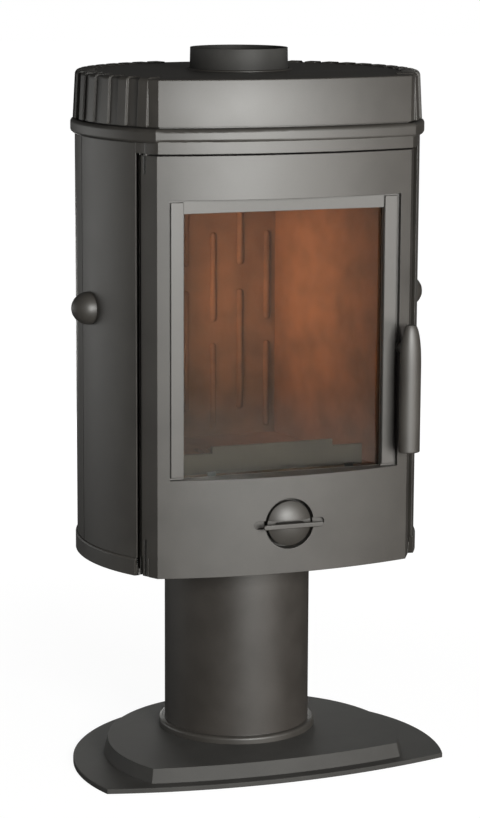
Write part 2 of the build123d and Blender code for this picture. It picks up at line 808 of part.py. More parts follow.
# Air control: a domed disc with a grip bar, turning a drilled plate behind a drilled cup.
disc_front_y = front_y + air_disc_sink
disc_face = make_face(
    Polyline(
        (0, 0), (air_disc_radius, 0), (air_disc_radius, air_rim)
    )
    + ThreePointArc(
        (air_disc_radius, air_rim), (air_disc_radius * 0.55, air_rim + air_dome * 0.74),
        (0, air_rim + air_dome),
    )
    + Line((0, air_rim + air_dome), (0, 0))
)
disc = revolve(Plane.XZ * disc_face, Axis.Z)
disc_back_y = disc_front_y + air_rim
disc = Pos(0, disc_back_y, air_z) * Rot(90, 0, 0) * disc
bar_y = front_y - air_bar_stand
groove = block(
    -air_disc_radius, air_disc_radius, 2 * front_y, disc_front_y + air_rim * 0.2,
    air_z - air_slot_height / 2, air_z + air_slot_height / 2,
)
disc -= groove
disc += block(
    -air_disc_radius * 0.6, air_disc_radius * 0.6, bar_y, disc_back_y,
    air_z - air_bar_height / 3, air_z + air_bar_height / 3,
)
bar = block(
    -air_bar_length / 2, air_bar_length / 2, bar_y - air_bar_depth / 2, bar_y + air_bar_depth / 2,
    air_z - air_bar_height / 2, air_z + air_bar_height / 2,
)
bar = fillet(bar.edges().filter_by(Axis.Y), air_bar_height * 0.45)
disc += fillet(bar.edges().filter_by(Axis.X), air_bar_depth * 0.2)
save(disc, "air_disc", (0.3, 0.3, 0.3))
cup_back_y = front_y + air_cup_depth
cup = across(air_hole_radius + air_cup_wall + seat_gap, front_y, cup_back_y, 0, air_z)
cup -= across(air_hole_radius + seat_gap, front_y, cup_back_y - air_cup_wall, 0, air_z)
cup &= upright(front_radius - door_wall, body_bottom, door_top, 0, front_centre_y)
cup -= across(air_spindle_radius + air_fit, front_y, cup_back_y, 0, air_z)
valve_front_y = cup_back_y + seat_gap
valve = across(
    air_hole_radius - air_cup_wall, valve_front_y, valve_front_y + air_plate_thickness, 0, air_z
)
for index in range(air_vent_count):
    turn = 45 + index * 360 / air_vent_count
    vent_x = air_vent_circle * cos(radians(turn))
    vent_z = air_z + air_vent_circle * sin(radians(turn))
    cup -= across(air_vent_radius, front_y, cup_back_y, vent_x, vent_z)
    valve -= across(air_vent_radius, front_y, 0, vent_x, vent_z)
save(cup, "air_cup")
valve -= across(air_spindle_radius, front_y, 0, 0, air_z)
save(valve, "air_valve_plate", (0.5, 0.5, 0.5))
valve_back_y = valve_front_y + air_plate_thickness
air_spindle = across(air_spindle_radius, disc_back_y, valve_back_y + nut_thickness, 0, air_z)
save(air_spindle, "air_spindle", (0.6, 0.6, 0.6))
air_nut_blank = extrude(RegularPolygon(air_spindle_radius * 1.8, 6), nut_thickness)
air_nut = Pos(0, valve_back_y + nut_thickness, air_z) * Rot(90, 0, 0) * air_nut_blank
air_nut -= across(air_spindle_radius, valve_back_y, 0, 0, air_z)
save(air_nut, "air_nut", (0.6, 0.6, 0.6))

# Ash box: a welded channel, open at the front, that carries the hearth over the ash pan.
box_half = pan_half + 2 * pan_gap
box_back_y = grate_centre_y + grate_depth / 2 + 2 * pan_gap
ash_box = block(
    -box_half - ash_wall, box_half + ash_wall, frame_back_y, box_back_y + ash_wall,
    floor_top, hearth_z,
)
ash_box -= block(-box_half, box_half, frame_back_y, box_back_y, floor_top, hearth_z)
save(ash_box, "ash_box")
runner_x = pan_half - runner_width
runners = [
    block(
        side * runner_x - runner_width / 2, side * runner_x + runner_width / 2, frame_back_y,
        box_back_y, floor_top, pan_bottom,
    )
    for side in (-1, 1)
]
save(many(runners), "pan_runners")
pan_front = frame_face_y - pan_wall
pan_back = box_back_y - pan_gap
pan = block(-pan_half, pan_half, pan_front, pan_back, pan_bottom, pan_top)
pan -= block(
    -pan_half + pan_wall, pan_half - pan_wall, pan_front + pan_wall, pan_back - pan_wall,
    pan_bottom + pan_wall, pan_top,
)
save(pan, "ash_pan", (0.5, 0.5, 0.5))


def firebox_slab(inset, low, high):
    """The firebox's plan, which narrows to the back, between two levels."""
    wide = firebox_half_width - inset
    narrow = firebox_back_half - inset
    face = make_face(
        Polyline(
            (-wide, frame_back_y), (wide, frame_back_y), (narrow, firebox_back_y - inset),
            (-narrow, firebox_back_y - inset), (-wide, frame_back_y),
        )
    )
    return Pos(0, 0, low) * extrude(face, high - low)


# Hearth: a cast plate under the fire with an opening for the grate.
hearth_top = hearth_z + hearth_thickness
hearth = firebox_slab(-lining_thickness, hearth_z, hearth_top)
grate_hole = block(
    -grate_width / 2 - grate_gap, grate_width / 2 + grate_gap,
    grate_centre_y - grate_depth / 2 - grate_gap, grate_centre_y + grate_depth / 2 + grate_gap,
    hearth_top - grate_thickness, hearth_top,
)
hearth -= grate_hole
hearth -= block(
    -grate_width / 2 + grate_thickness, grate_width / 2 - grate_thickness,
    grate_centre_y - grate_depth / 2 + grate_thickness,
    grate_centre_y + grate_depth / 2 - grate_thickness, hearth_z, hearth_top,
)
save(hearth, "hearth_plate")
grate = block(
    -grate_width / 2, grate_width / 2, grate_centre_y - grate_depth / 2,
    grate_centre_y + grate_depth / 2, hearth_top - grate_thickness, hearth_top,
)
slot_pitch = grate_width / (grate_slots + 1)
for index in range(grate_slots):
    slot_x = (index - (grate_slots - 1) / 2) * slot_pitch
    grate -= block(
        slot_x - grate_slot_width / 2, slot_x + grate_slot_width / 2,
        grate_centre_y - grate_depth / 2 + 2 * grate_thickness,
        grate_centre_y + grate_depth / 2 - 2 * grate_thickness, hearth_z, hearth_top,
    )
save(grate, "fire_grate")

# Firebox walls: a back plate with staggered raised bars and two smooth side plates.
lining_top = top_plate_bottom
shell = firebox_slab(-lining_thickness, hearth_top, lining_top) - firebox_slab(
    0, hearth_top, lining_top
)
shell -= block(
    -2 * body_radius, 2 * body_radius, frame_back_y - 1, frame_back_y, hearth_top, lining_top
)
back_plate = shell & block(
    -2 * body_radius, 2 * body_radius, firebox_back_y, 2 * body_radius, hearth_top, lining_top
)
bar_spans = ((bar_low, bar_low + bar_long), (bar_low + bar_long + bar_gap, bar_high))
for index in range(bar_count):
    bar_x = (index - (bar_count - 1) / 2) * bar_pitch
    shift = (index % 2) * bar_stagger
    for start, stop in bar_spans:
        back_plate += block(
            bar_x - bar_width / 2, bar_x + bar_width / 2, firebox_back_y - bar_rise,
            firebox_back_y, start + shift, stop + shift,
        )
save(back_plate, "firebox_back")
right_lining = shell & block(
    0, 2 * body_radius, frame_back_y, firebox_back_y, hearth_top, lining_top
)
save(right_lining, "firebox_side_right")
save(mirror(right_lining, Plane.YZ), "firebox_side_left")

# Log retainer: a low stepped bar across the mouth of the fire.
retainer = block(
    -retainer_half, retainer_half, retainer_y, retainer_y + retainer_thickness,
    hearth_top, retainer_low,
)
retainer += block(
    -retainer_middle, retainer_middle, retainer_y, retainer_y + retainer_thickness,
    hearth_top, retainer_high,
)
save(retainer, "log_retainer")

# Baffle: a plate over the fire, on four rests that are fixed to the side plates.
baffle = firebox_slab(2 * seat_gap, baffle_z, baffle_z + baffle_thickness)
baffle &= block(
    -body_radius, body_radius, firebox_back_y - baffle_depth, body_radius, baffle_z,
    baffle_z + baffle_thickness,
)
save(baffle, "baffle")
rests = firebox_slab(0, baffle_z - rest_size, baffle_z) - firebox_slab(
    rest_size, baffle_z - rest_size, baffle_z
)
rest_parts = []
for rest_y in (firebox_back_y - 3 * rest_size, firebox_back_y - baffle_depth + rest_size):
    for side in (-1, 1):
        zone = block(
            min(0, side * body_radius), max(0, side * body_radius), rest_y, rest_y + 2 * rest_size,
            baffle_z - rest_size, baffle_z,
        )
        rest_parts.append(rests & zone)
save(many(rest_parts), "baffle_rests")
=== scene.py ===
"""Looks of a cast iron wood stove on a round pedestal. Metres, +Z up, the door faces -Y."""
import math

import bmesh
import bpy
from mathutils import Matrix, Vector


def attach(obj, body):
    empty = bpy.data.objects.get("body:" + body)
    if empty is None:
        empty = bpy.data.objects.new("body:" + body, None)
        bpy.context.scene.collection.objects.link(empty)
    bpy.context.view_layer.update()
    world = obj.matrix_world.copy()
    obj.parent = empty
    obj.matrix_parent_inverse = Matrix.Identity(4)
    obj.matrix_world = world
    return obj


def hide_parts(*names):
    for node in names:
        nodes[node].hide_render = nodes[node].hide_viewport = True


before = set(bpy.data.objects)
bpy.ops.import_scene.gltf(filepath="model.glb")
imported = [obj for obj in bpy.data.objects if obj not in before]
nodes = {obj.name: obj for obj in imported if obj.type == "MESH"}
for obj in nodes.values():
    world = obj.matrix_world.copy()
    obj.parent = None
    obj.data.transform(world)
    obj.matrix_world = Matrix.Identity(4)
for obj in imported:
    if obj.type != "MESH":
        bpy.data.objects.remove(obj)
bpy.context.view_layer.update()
scene = bpy.context.scene

# Camera: a long lens in front of the stove and to its left, a little above the crown,
# looking slightly down, as a catalogue photographer stands.
camera = bpy.data.objects.new("camera", bpy.data.cameras.new("camera"))
scene.collection.objects.link(camera)
camera_forward = Vector((0.32920513, 0.92584467, -0.18556838)).normalized()
camera_right = Vector((0.9424699, -0.33426395, 0.00425416)).normalized()
camera_up = camera_right.cross(camera_forward).normalized()
camera.matrix_world = Matrix.Translation((-1.2365, -3.4885, 1.1874)) @ Matrix(
    (camera_right, camera_up, -camera_forward)
).transposed().to_4x4()
camera.data.lens = 116.39
camera.data.sensor_width = 36.0
camera.data.clip_end = 60.0
scene.camera = camera
scene.view_settings.view_transform = "Standard"

# Studio: an even room, with a wide soft box in front and weaker ones at the left, low at the
# right and behind. The camera sees the room white; to all else it is a dim fill.


def node(tree, kind, settings=None, **links):
    """Adds a node: settings are its attributes and socket values, links are its inputs."""
    made = tree.nodes.new(kind)
    for name, value in (settings or {}).items():
        if isinstance(name, str) and hasattr(made, name):
            setattr(made, name, value)
        else:
            made.inputs[name].default_value = value
    for name, source in links.items():
        numbered = name[:1] == "i" and name[1:].isdigit()
        socket = made.inputs[int(name[1:]) if numbered else name.replace("_", " ")]
        tree.links.new(source, socket)
    return made


def shown_white(tree, path):
    """1 for rays straight from the camera, or from it through the glass, and 0 for the rest."""
    bounced = node(tree, "ShaderNodeMath", {"operation": "GREATER_THAN", 1: 0.5}, i0=path["Diffuse Depth"])
    through = node(tree, "ShaderNodeMath", {"operation": "GREATER_THAN"},
                   i0=path["Is Transmission Ray"], i1=bounced.outputs[0])
    either = node(tree, "ShaderNodeMath", {"operation": "MAXIMUM"},
                  i0=path["Is Camera Ray"], i1=through.outputs[0])
    return either.outputs[0]


world = bpy.data.worlds.new("studio room")
scene.world = world
world.use_nodes = True
world.node_tree.nodes.clear()
room = world.node_tree
room_path = node(room, "ShaderNodeLightPath").outputs
white = node(room, "ShaderNodeBackground", {"Color": (1, 1, 1, 1), "Strength": 1.0})
heading = node(room, "ShaderNodeTexCoord")
split = node(room, "ShaderNodeSeparateXYZ", Vector=heading.outputs["Generated"])
front_half = node(room, "ShaderNodeMapRange", {
    "From Min": 0.5, "From Max": -0.5, "To Min": 0.07, "To Max": 0.10,
}, Value=split.outputs["Y"])
fill = node(room, "ShaderNodeBackground", {"Color": (1, 0.98, 0.95, 1)}, Strength=front_half.outputs[0])
mix = node(room, "ShaderNodeMixShader", Fac=shown_white(room, room_path), i1=fill.outputs[0], i2=white.outputs[0])
node(room, "ShaderNodeOutputWorld", Surface=mix.outputs[0])


def soft_box(name, azimuth, elevation, distance, width, height, power, aim, colour=(1.0, 1.0, 0.97)):
    """A rectangular lamp that faces the aim point from a heading (0 is the stove's front)."""
    a = math.radians(azimuth)
    e = math.radians(elevation)
    out = Vector((math.sin(a) * math.cos(e), -math.cos(a) * math.cos(e), math.sin(e)))
    lamp = bpy.data.objects.new(name, bpy.data.lights.new(name, "AREA"))
    lamp.data.shape = "RECTANGLE"
    lamp.data.size = width
    lamp.data.size_y = height
    lamp.data.energy = power
    lamp.data.color = colour
    lamp.matrix_world = Matrix.Translation(Vector(aim) + out * distance) @ out.to_track_quat(
        "Z", "Y"
    ).to_matrix().to_4x4()
    lamp.visible_camera = False
    scene.collection.objects.link(lamp)


soft_box("key_soft_box", 5, 8, 3.0, 1.2, 0.9, 88, (0, 0, 0.6))
soft_box("left_soft_box", -128, 2, 2.6, 2.2, 1.0, 9.5, (0, 0, 0.45))
soft_box("rear_soft_box", 168, -5, 2.6, 1.2, 0.4, 11, (0, 0, 0.5))
soft_box("low_right_strip", 32, 4, 2.8, 0.24, 0.7, 11, (0, 0, 0.2), (1.0, 0.93, 0.87))
soft_box("rear_right_soft_box", 150, 4, 2.6, 1.2, 0.9, 2.0, (0, 0, 0.4))

# Floor: a pale seamless paper sheet that runs on behind the stove.
# The camera sees it as white with the stove's faint shadow, deepened by a painted shade that dims its glow near the
# stove, and gloss sees it darker.
floor_half = 20
floor_mesh = bpy.data.meshes.new("studio_floor")
floor_mesh.from_pydata(
    [(-floor_half, -floor_half, 0), (floor_half, -floor_half, 0),
     (floor_half, floor_half, 0), (-floor_half, floor_half, 0)],
    [], [(0, 1, 2, 3)],
)
floor = bpy.data.objects.new("studio_floor", floor_mesh)
scene.collection.objects.link(floor)
paper = bpy.data.materials.new("white seamless paper")
paper.use_nodes = True
paper.node_tree.nodes.clear()
t = paper.node_tree
path = node(t, "ShaderNodeLightPath").outputs
seen = shown_white(t, path)
where = node(t, "ShaderNodeTexCoord")
away = node(t, "ShaderNodeVectorMath", {"operation": "LENGTH"}, i0=where.outputs["Object"])
# Painted shade: the paper's glow is 5% dimmer within half a metre of the stove's centre and rises to full white at a
# metre and a half.
glow_with_painted_shade = node(t, "ShaderNodeMapRange", {
    "From Min": 0.5, "From Max": 1.5, "To Min": 0.95, "To Max": 1.0,
}, Value=away.outputs["Value"])
shown = node(t, "ShaderNodeMath", {"operation": "MULTIPLY"}, i0=seen, i1=glow_with_painted_shade.outputs[0])
dim = node(t, "ShaderNodeMath", {"operation": "MAXIMUM"}, i0=seen, i1=path["Is Glossy Ray"])
lit = node(t, "ShaderNodeMapRange", {"To Min": 0.45, "To Max": 0.12}, Value=dim.outputs[0])
matt = node(t, "ShaderNodeBsdfDiffuse", Color=lit.outputs[0])
glow = node(t, "ShaderNodeEmission", {"Color": (1, 1, 1, 1)}, Strength=shown.outputs[0])
both = node(t, "ShaderNodeAddShader", i0=matt.outputs[0], i1=glow.outputs[0])
node(t, "ShaderNodeOutputMaterial", Surface=both.outputs[0])
floor_mesh.materials.append(paper)

# Castings and sheet steel: grey iron from sand moulds, and rolled sheet for the tube, the rear
# casing and the ash box. All are sprayed with one matt, heat-resistant stove paint.


def srgb(code):
    """Linear colour of an sRGB hex value."""
    parts = [int(code[k:k + 2], 16) / 255 for k in (1, 3, 5)]
    return [c / 12.92 if c <= 0.04045 else ((c + 0.055) / 1.055) ** 2.4 for c in parts] + [1.0]


MM = 0.001


def painted_iron(name, light, dark, roughness, grain_mm, bump, flake=1.0):
    """Matt stove paint over a surface with a grain of the given size."""
    material = bpy.data.materials.new(name)
    material.use_nodes = True
    material.node_tree.nodes.clear()
    t = material.node_tree
    place = node(t, "ShaderNodeTexCoord").outputs["Object"]
    sand = node(t, "ShaderNodeTexNoise", {"Scale": 1 / (grain_mm * MM), "Detail": 4.0, "Roughness": 0.6},
                Vector=place)
    cloud = node(t, "ShaderNodeTexNoise", {"Scale": 1 / (60 * MM), "Detail": 3.0}, Vector=place)
    blend = node(t, "ShaderNodeMath", {"operation": "MULTIPLY_ADD", 1: 0.35},
                 i0=sand.outputs["Fac"], i2=cloud.outputs["Fac"])
    tint = node(t, "ShaderNodeValToRGB", Fac=blend.outputs[0])
    tint.color_ramp.elements[0].position = 0.45
    tint.color_ramp.elements[0].color = srgb(dark)
    tint.color_ramp.elements[1].position = 0.85
    tint.color_ramp.elements[1].color = srgb(light)
    gloss = node(t, "ShaderNodeMapRange", {"To Min": roughness - 0.04, "To Max": roughness + 0.05},
                 Value=cloud.outputs["Fac"])
    edge = node(t, "ShaderNodeBevel", {"samples": 4, "Radius": 1.0 * MM})
    relief = node(t, "ShaderNodeBump", {"Strength": bump, "Distance": 0.2 * MM},
                  Height=sand.outputs["Fac"], Normal=edge.outputs[0])
    paint = node(t, "ShaderNodeBsdfPrincipled", {"IOR": 1.5, "Specular IOR Level": flake},
                 Base_Color=tint.outputs[0], Roughness=gloss.outputs[0], Normal=relief.outputs[0])
    node(t, "ShaderNodeOutputMaterial", Surface=paint.outputs[0])
    return material


# A dull, warm grey gloss that sand-fine pitting and a faint cloudiness break up.
stove_paint = painted_iron("cast iron with matt heat-resistant paint", "#413e3a", "#35322e", 0.48, 1.6, 0.25)
# The same grey on a smoother ground, so its highlights run on without grain.
sheet_paint = painted_iron("sheet steel with matt heat-resistant paint", "#3f3b37", "#34302c", 0.46, 3.0, 0.12)
# Duller and a little paler, with hardly a highlight.
flue_paint = painted_iron("dull stove paint that the flue has baked", "#42413f", "#353432", 0.66, 1.6, 0.3, 0.6)


def wear(material, names):
    """Gives nodes of the frame one material."""
    for name in names:
        mesh = nodes[name].data
        mesh.materials.clear()
        mesh.materials.append(material)


wear(stove_paint, [
    "foot_ring", "body_floor", "side_panel_left", "side_panel_right", "joint_strip_left",
    "joint_strip_right", "panel_knob_left", "panel_knob_right", "top_plate", "crown", "front_frame",
    "door_casting", "handle_grip", "air_disc", "air_cup", "log_retainer",
])
wear(sheet_paint, ["pedestal_tube", "rear_casing", "ash_box", "pan_runners"])
wear(flue_paint, ["flue_collar", "base_plate", "base_plinth"])

# Crown: the ribbed cast hood over the top plate. Its sides lean in a little from the mould's
# draft, its two front corners stand upright, and fifteen ribs a side wrap over its top edge.
BODY_CENTRE = -36.0 * MM
FRONT_RADIUS = 694.5 * MM
FRONT_CENTRE = 479.2 * MM
hood_radius = 237.4 * MM
hood_low = 907.5 * MM
hood_high = 969.3 * MM
hood_draft = 3.3 * MM
rib_proud = 3.5 * MM
rib_crest = 2.2 * MM
rib_half = 8.25 * MM


def body_outline(radius, front, lean=0.0):
    """The body's plan, counter-clockwise: round sides and back, then the bowed front.

    The sides lean in by the given amount, but for the first few millimetres from a corner.
    """
    corner_y = (radius**2 - front**2 - BODY_CENTRE**2 + FRONT_CENTRE**2) / (2 * (FRONT_CENTRE - BODY_CENTRE))
    corner_x = math.sqrt(radius**2 - (corner_y - BODY_CENTRE) ** 2)
    first = math.atan2(corner_y - BODY_CENTRE, corner_x)
    upright = 12 * MM
    easing = 26 * MM
    points = []
    for k in range(145):
        angle = first + (math.pi - 2 * first) * k / 144
        from_corner = radius * min(angle - first, math.pi - first - angle)
        share = min(max((from_corner - upright) / easing, 0.0), 1.0)
        reach = radius - lean * share * share * (3 - 2 * share)
        points.append((reach * math.cos(angle), BODY_CENTRE + reach * math.sin(angle)))
    half = math.asin(corner_x / front)
    for k in range(1, 32):
        angle = -half + 2 * half * k / 32
        points.append((front * math.sin(angle), FRONT_CENTRE - front * math.cos(angle)))
    return points


def joined(bm, loops):
    """Faces between each two neighbouring loops of equally many points."""
    count = len(loops[0])
    for low, high in zip(loops, loops[1:]):
        for k in range(count):
            n = (k + 1) % count
            bm.faces.new((low[k], low[n], high[n], high[k]))


def stacked(bm, rings):
    """A closed casting through outlines at rising levels."""
    loops = [[bm.verts.new((x, y, z)) for x, y in outline] for z, outline in rings]
    joined(bm, loops)
    bm.faces.new(list(reversed(loops[0])))
    bm.faces.new(loops[-1])


def cast_piece(name, bm, material, body, *replaced):
    """Makes the object of a casting, smooth but for its sharp edges, and ties it to its body."""
    mesh = bpy.data.meshes.new(name)
    bm.to_mesh(mesh)
    bm.free()
    mesh.polygons.foreach_set("use_smooth", [True] * len(mesh.polygons))
    mesh.set_sharp_from_angle(angle=math.radians(28))
    mesh.materials.clear()
    mesh.materials.append(material)
    made = bpy.data.objects.new(name, mesh)
    scene.collection.objects.link(made)
    if body:
        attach(made, body)
    if replaced:
        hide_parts(*replaced)
    return made


foot_step = 5 * MM
top_round = 2.2 * MM
rings = [
    (hood_low - 2 * MM, body_outline(hood_radius - foot_step, FRONT_RADIUS - foot_step)),
    (hood_low, body_outline(hood_radius - foot_step, FRONT_RADIUS - foot_step)),
    (hood_low, body_outline(hood_radius, FRONT_RADIUS)),
    (hood_high - top_round, body_outline(hood_radius, FRONT_RADIUS, hood_draft)),
]
for k in (1, 2, 3):
    turn = k * math.pi / 6
    inset = top_round * (1 - math.cos(turn))
    rings.append((
        hood_high - top_round * (1 - math.sin(turn)),
        body_outline(hood_radius - inset, FRONT_RADIUS - inset, hood_draft),
    ))
bm = bmesh.new()
stacked(bm, rings)
hood = cast_piece("crown_hood", bm, stove_paint, None)

# One rib: an upright bar on the hood's wall that bends over the edge and ends on the top.
bend = 6.0 * MM
rib_length = 26 * MM
rib_top = hood_high + rib_crest
rib_outline = [(rib_proud, hood_low)]
for k in range(7):
    turn = k * math.pi / 12
    rib_outline.append((
        rib_proud - hood_draft - bend * (1 - math.cos(turn)), rib_top - bend * (1 - math.sin(turn)),
    ))
rib_outline += [
    (-rib_length, rib_top), (-rib_length, rib_top - 6 * MM), (-9 * MM, rib_top - 8 * MM), (-6 * MM, hood_low),
]
bm = bmesh.new()
near = [bm.verts.new((x, -rib_half, z)) for x, z in rib_outline]
far = [bm.verts.new((x, rib_half, z)) for x, z in rib_outline]
bm.faces.new(near)
bm.faces.new(list(reversed(far)))
for k in range(len(near)):
    n = (k + 1) % len(near)
    bm.faces.new((near[n], near[k], far[k], far[n]))
bmesh.ops.recalc_face_normals(bm, faces=bm.faces)
long_edges = [e for e in bm.edges if abs(e.verts[0].co.y - e.verts[1].co.y) < 1e-6]
bmesh.ops.bevel(bm, geom=long_edges, offset=0.7 * MM, segments=2, affect="EDGES")
one_rib = cast_piece("one_rib", bm, stove_paint, None)

# One vent: the slot through the top between two ribs.
vent_length = 16 * MM
vent_width = 10 * MM
vent_depth = 12 * MM
vent_inset = 14 * MM
bm = bmesh.new()
bmesh.ops.create_cube(bm, size=1.0)
bmesh.ops.scale(bm, vec=(vent_length, vent_width, vent_depth), verts=bm.verts)
bmesh.ops.translate(bm, vec=(-vent_inset, 0, hood_high), verts=bm.verts)
one_vent = cast_piece("one_vent", bm, stove_paint, None)

# The tree sets points on the hood's circle at equal headings from the flue, and turns a copy of
# the piece outward at each.
g = bpy.data.node_groups.new("copies round the hood", "GeometryNodeTree")
plug = {}
for label, kind in (
    ("Count", "Int"), ("First heading", "Float"), ("Pitch", "Float"), ("Hood radius", "Float"),
    ("Hood centre", "Float"), ("Side", "Float"), ("Piece", "Object"), ("Iron", "Material"),
):
    made = g.interface.new_socket(name=label, in_out="INPUT", socket_type="NodeSocket" + kind)
    plug[label] = made.identifier
g.interface.new_socket(name="Geometry", in_out="OUTPUT", socket_type="NodeSocketGeometry")
given = node(g, "NodeGroupInput").outputs
centre = given["Hood centre"]
radius = given["Hood radius"]
row = node(g, "GeometryNodePoints", Count=given["Count"])
number = node(g, "GeometryNodeInputIndex")
heading = node(g, "ShaderNodeMath", {"operation": "MULTIPLY_ADD"},
               i0=number.outputs[0], i1=given["Pitch"], i2=given["First heading"])
sine = node(g, "ShaderNodeMath", {"operation": "SINE"}, i0=heading.outputs[0])
cosine = node(g, "ShaderNodeMath", {"operation": "COSINE"}, i0=heading.outputs[0])
along = node(g, "ShaderNodeMath", {"operation": "MULTIPLY"}, i0=sine.outputs[0], i1=centre)
along_squared = node(g, "ShaderNodeMath", {"operation": "MULTIPLY"}, i0=along.outputs[0], i1=along.outputs[0])
centre_squared = node(g, "ShaderNodeMath", {"operation": "MULTIPLY"}, i0=centre, i1=centre)
radius_squared = node(g, "ShaderNodeMath", {"operation": "MULTIPLY"}, i0=radius, i1=radius)
less = node(g, "ShaderNodeMath", {"operation": "SUBTRACT"}, i0=along_squared.outputs[0], i1=centre_squared.outputs[0])
under = node(g, "ShaderNodeMath", {"operation": "ADD"}, i0=less.outputs[0], i1=radius_squared.outputs[0])
root = node(g, "ShaderNodeMath", {"operation": "SQRT"}, i0=under.outputs[0])
reach = node(g, "ShaderNodeMath", {"operation": "ADD"}, i0=along.outputs[0], i1=root.outputs[0])
out_x = node(g, "ShaderNodeMath", {"operation": "MULTIPLY"}, i0=reach.outputs[0], i1=cosine.outputs[0])
side_x = node(g, "ShaderNodeMath", {"operation": "MULTIPLY"}, i0=out_x.outputs[0], i1=given["Side"])
out_y = node(g, "ShaderNodeMath", {"operation": "MULTIPLY"}, i0=reach.outputs[0], i1=sine.outputs[0])
place = node(g, "ShaderNodeCombineXYZ", X=side_x.outputs[0], Y=out_y.outputs[0])
spots = node(g, "GeometryNodeSetPosition", Geometry=row.outputs[0], Position=place.outputs[0])
from_centre = node(g, "ShaderNodeMath", {"operation": "SUBTRACT"}, i0=out_y.outputs[0], i1=centre)
facing = node(g, "ShaderNodeMath", {"operation": "ARCTAN2"}, i0=from_centre.outputs[0], i1=side_x.outputs[0])
angles = node(g, "ShaderNodeCombineXYZ", Z=facing.outputs[0])
turned = node(g, "FunctionNodeEulerToRotation", Euler=angles.outputs[0])
pattern = node(g, "GeometryNodeObjectInfo", Object=given["Piece"])
copies = node(g, "GeometryNodeInstanceOnPoints", Points=spots.outputs[0],
              Instance=pattern.outputs["Geometry"], Rotation=turned.outputs[0])
real = node(g, "GeometryNodeRealizeInstances", Geometry=copies.outputs[0])
skin = node(g, "GeometryNodeSetMaterial", Geometry=real.outputs[0], Material=given["Iron"])
node(g, "NodeGroupOutput", Geometry=skin.outputs[0])


def baked(obj):
    """The plain mesh that an object's modifiers make."""
    graph = bpy.context.evaluated_depsgraph_get()
    graph.update()
    return bpy.data.meshes.new_from_object(obj.evaluated_get(graph))


def copies_round_hood(piece, count, first, side):
    """Copies of a piece along one side of the hood, as a plain mesh."""
    holder = bpy.data.objects.new("holder", bpy.data.meshes.new("holder"))
    scene.collection.objects.link(holder)
    modifier = holder.modifiers.new("copies", "NODES")
    modifier.node_group = g
    for label, value in (
        ("Count", count), ("First heading", math.radians(first)), ("Pitch", math.radians(8.0)),
        ("Hood radius", hood_radius), ("Hood centre", BODY_CENTRE), ("Side", side), ("Piece", piece),
        ("Iron", stove_paint),
    ):
        modifier[plug[label]] = value
    mesh = baked(holder)
    bpy.data.objects.remove(holder)
    return mesh


# The vents and the collar's hole are cut from the hood in one step, and the ribs stand on it.
collar_radius = 69.8 * MM
vents = bmesh.new()
ribs = bmesh.new()
for side in (-1.0, 1.0):
    vents.from_mesh(copies_round_hood(one_vent, 14, -37.7, side))
    ribs.from_mesh(copies_round_hood(one_rib, 15, -41.7, side))
bmesh.ops.create_cone(vents, cap_ends=True, segments=96, radius1=collar_radius, radius2=collar_radius,
                      depth=0.2, matrix=Matrix.Translation((0, 0, 0.94)))
bmesh.ops.recalc_face_normals(vents, faces=vents.faces)
cutter = cast_piece("crown_cutter", vents, stove_paint, None)
cut = hood.modifiers.new("cut", "BOOLEAN")
cut.operation = "DIFFERENCE"
cut.solver = "EXACT"
cut.object = cutter
crown = bmesh.new()
crown.from_mesh(baked(hood))
rib_mesh = bpy.data.meshes.new("ribs")
ribs.to_mesh(rib_mesh)
ribs.free()
crown.from_mesh(rib_mesh)
for spare in (hood, one_rib, one_vent, cutter):
    bpy.data.objects.remove(spare)
# The bead where the hood meets the flue collar: radius and level of each step, in mm.
bead = ((73.0, 969.0), (73.0, 970.6), (72.0, 971.6), (70.4, 971.8), (69.8, 971.0), (69.8, 960.0))
joined(crown, [
    bmesh.ops.create_circle(crown, segments=96, radius=r * MM, matrix=Matrix.Translation((0, 0, z * MM)))["verts"]
    for r, z in bead
])
cast_piece("ribbed_crown", crown, stove_paint, "stove", "crown")

# Side panels: curved castings between the door's slot and the rear casing. The front edge is a
# thin lip, because the casting is cut away behind it where the door's flank turns in.
panel_outer = 238.5 * MM
panel_inner = 233.5 * MM
panel_low = 324.3 * MM
panel_high = 885.7 * MM
lip = 0.5 * MM
lip_y = -163.4 * MM
behind_lip = 4.5 * MM
rear_y = -37.0 * MM


def arc(radius, start, end):
    """Points round the body's centre, from one angle to another."""
    turns = [start + (end - start) * k / 40 for k in range(41)]
    return [(radius * math.cos(turn), BODY_CENTRE + radius * math.sin(turn)) for turn in turns]


first = math.asin((lip_y - BODY_CENTRE) / panel_outer)
last = math.asin((rear_y - BODY_CENTRE) / panel_outer)
inner_first = math.asin((lip_y + behind_lip - BODY_CENTRE) / panel_inner)
outline = arc(panel_outer, first, last) + arc(panel_inner, last, inner_first)
outline.append((outline[0][0] - lip, lip_y))
mirrored = [(-x, y) for x, y in reversed(outline)]
for name, plan, replaced in (
    ("right_side_panel", outline, "side_panel_right"), ("left_side_panel", mirrored, "side_panel_left"),
):
    bm = bmesh.new()
    stacked(bm, [(panel_low, plan), (panel_high, plan)])
    cast_piece(name, bm, stove_paint, "stove", replaced)

